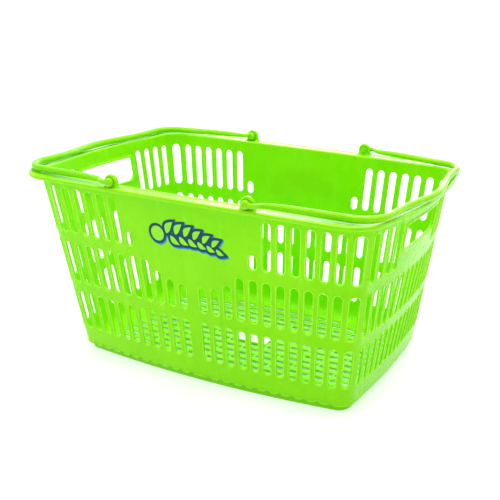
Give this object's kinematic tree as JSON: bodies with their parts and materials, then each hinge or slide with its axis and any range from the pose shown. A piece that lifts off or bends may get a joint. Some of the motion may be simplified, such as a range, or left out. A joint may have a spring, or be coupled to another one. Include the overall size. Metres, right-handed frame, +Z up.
{
  "type": "shopping basket",
  "caption": "Tapered open-slotted hand basket with a flat rim, hand holes in the ends and swing handles that fold outward onto the rim.",
  "frame": {"origin": "on the ground, under the centre of the body", "axes": "+X along the long side towards handle_right, +Y towards the back long wall, +Z up out of the basket's mouth"},
  "size_m": [0.5302, 0.3482, 0.2716],
  "materials": {
    "body_plastic": "glossy lime green moulded polypropylene",
    "handle_plastic": "glossy lime green moulded polypropylene, smooth to the hand",
    "label_film": "satin white plastic film"
  },
  "bodies": {
    "basket": {"basket_body": "body_plastic", "floor_label": "label_film"},
    "left_handle": {"handle_left": "handle_plastic"},
    "right_handle": {"handle_right": "handle_plastic"}
  },
  "joints": [
    {"name": "left_handle_swing", "type": "hinge", "parent": "basket", "child": "left_handle", "pos_m": [-0.0941, 0, 0.2628], "axis": [0, 1, 0], "range_deg": [0, 123]},
    {"name": "right_handle_swing", "type": "hinge", "parent": "basket", "child": "right_handle", "pos_m": [0.0941, 0, 0.2628], "axis": [0, -1, 0], "range_deg": [0, 123]}
  ]
}
